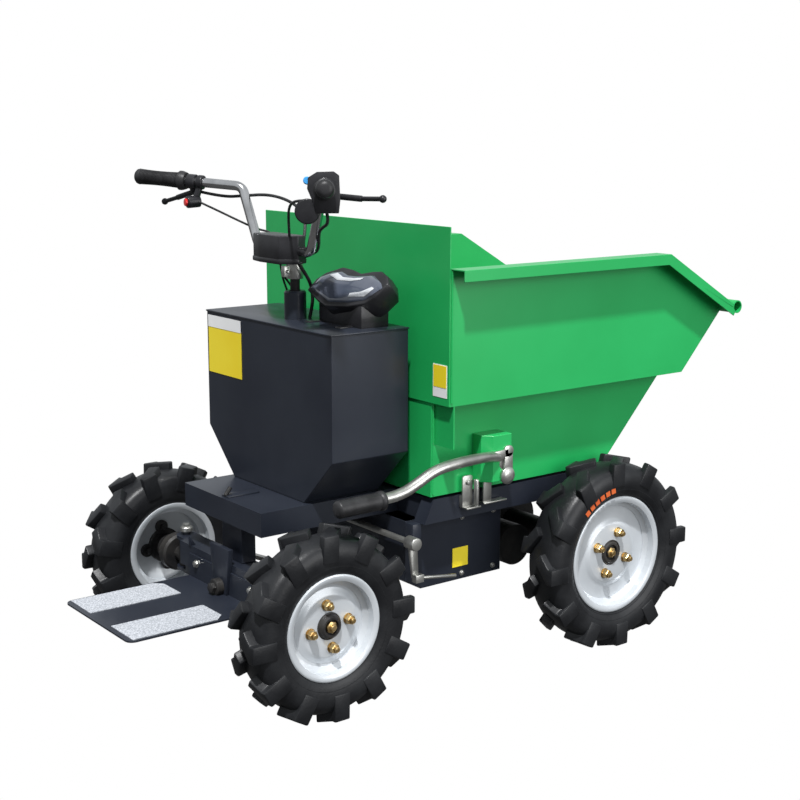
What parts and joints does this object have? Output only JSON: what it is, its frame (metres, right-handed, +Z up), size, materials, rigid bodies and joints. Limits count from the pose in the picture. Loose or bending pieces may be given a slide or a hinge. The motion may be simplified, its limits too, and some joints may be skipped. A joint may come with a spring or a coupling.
{
  "type": "small electric site dumper",
  "caption": "Small four-wheeled electric tipping dumper with a forward-tipping skip, rear-wheel steering from a handlebar and a rear step.",
  "frame": {"origin": "on the ground under the middle of the machine's length and width", "axes": "+X forward, the way the skip tips; +Y left; +Z up"},
  "size_m": [1.568, 0.8806, 1.1345],
  "materials": {
    "frame_paint": "satin anthracite powder coat",
    "skip_paint": "gloss green powder coat",
    "rim_paint": "silver grey gloss enamel",
    "tyre_rubber": "moulded black rubber, chevron lugs",
    "axle_casting": "black painted casting and forging",
    "zinc_plate": "zinc plated steel",
    "bar_chrome": "polished chrome",
    "grip_rubber": "ribbed black rubber",
    "black_plastic": "moulded black plastic",
    "grit_pad": "grey grit coated foot pad",
    "battery_case": "moulded battery cases"
  },
  "bodies": {
    "root": {"main_frame": "frame_paint", "rear_post": "frame_paint", "belly_box": "frame_paint", "battery_box": "frame_paint", "battery_pack": "battery_case", "column_tube": "frame_paint", "display_pod": "black_plastic", "rear_axle_beam": "frame_paint", "step_plate": "frame_paint", "step_pads": "grit_pad", "front_axle": "axle_casting", "drive_motor": "axle_casting", "brake_linkage": "zinc_plate", "latch_catch": "zinc_plate"},
    "skip": {"skip_tub": "skip_paint", "skip_headboard": "skip_paint", "skip_rim_flanges": "skip_paint", "skip_lip_tube": "skip_paint", "skip_hinge_ears": "skip_paint", "latch_bracket": "skip_paint", "tip_handle": "zinc_plate", "tip_handle_grip": "grip_rubber", "latch_plate": "zinc_plate"},
    "bars": {"steering_shaft": "axle_casting", "handlebar": "bar_chrome", "grips": "grip_rubber", "handlebar_cover": "black_plastic", "brake_levers": "black_plastic", "bar_controls": "black_plastic"},
    "steer_left": {"knuckle_left": "axle_casting"},
    "steer_right": {"knuckle_right": "axle_casting"},
    "track_rod": {"tie_rod": "zinc_plate"},
    "relay_rod": {"drag_link": "zinc_plate"},
    "wheel_rear_left": {"tyre_rear_left": "tyre_rubber", "rim_rear_left": "rim_paint", "hub_rear_left": "axle_casting"},
    "wheel_rear_right": {"tyre_rear_right": "tyre_rubber", "rim_rear_right": "rim_paint", "hub_rear_right": "axle_casting"},
    "wheel_front_left": {"tyre_front_left": "tyre_rubber", "rim_front_left": "rim_paint", "hub_front_left": "axle_casting"},
    "wheel_front_right": {"tyre_front_right": "tyre_rubber", "rim_front_right": "rim_paint", "hub_front_right": "axle_casting"}
  },
  "joints": [
    {"name": "bars_turn", "type": "hinge", "parent": "root", "child": "bars", "pos_m": [-0.268, 0, 0.6], "axis": [0, 0, 1], "range_deg": [-34, 34]},
    {"name": "steer_left_turn", "type": "hinge", "parent": "root", "child": "steer_left", "pos_m": [-0.431, 0.24, 0.215], "axis": [0, 0, 1], "range_deg": [-25.6, 25.6]},
    {"name": "steer_right_turn", "type": "hinge", "parent": "root", "child": "steer_right", "pos_m": [-0.431, -0.24, 0.215], "axis": [0, 0, 1], "range_deg": [-25.6, 25.6]},
    {"name": "track_rod_pin", "type": "hinge", "parent": "steer_left", "child": "track_rod", "pos_m": [-0.371, 0.24, 0.203], "axis": [0, 0, 1], "range_deg": [-25.6, 25.6]},
    {"name": "relay_rod_pin", "type": "hinge", "parent": "bars", "child": "relay_rod", "pos_m": [-0.313, 0, 0.227], "axis": [0, 0, 1], "range_deg": [-34.1, 34.1]},
    {"name": "skip_tip", "type": "hinge", "parent": "root", "child": "skip", "pos_m": [0.39, 0, 0.384], "axis": [0, 1, 0], "range_deg": [0, 85]},
    {"name": "wheel_rear_left_spin", "type": "hinge", "parent": "steer_left", "child": "wheel_rear_left", "pos_m": [-0.431, 0.345, 0.208], "axis": [0, 1, 0], "continuous": true},
    {"name": "wheel_rear_right_spin", "type": "hinge", "parent": "steer_right", "child": "wheel_rear_right", "pos_m": [-0.431, -0.345, 0.208], "axis": [0, 1, 0], "continuous": true},
    {"name": "wheel_front_left_spin", "type": "hinge", "parent": "root", "child": "wheel_front_left", "pos_m": [0.353, 0.386, 0.23], "axis": [0, 1, 0], "continuous": true},
    {"name": "wheel_front_right_spin", "type": "hinge", "parent": "root", "child": "wheel_front_right", "pos_m": [0.353, -0.386, 0.23], "axis": [0, 1, 0], "continuous": true}
  ],
  "couplings": [
    {"joint": "steer_left_turn", "follows": "bars_turn", "ratio": -0.75},
    {"joint": "steer_right_turn", "follows": "bars_turn", "ratio": -0.75},
    {"joint": "track_rod_pin", "follows": "bars_turn", "ratio": 0.75},
    {"joint": "relay_rod_pin", "follows": "bars_turn", "ratio": -1}
  ]
}
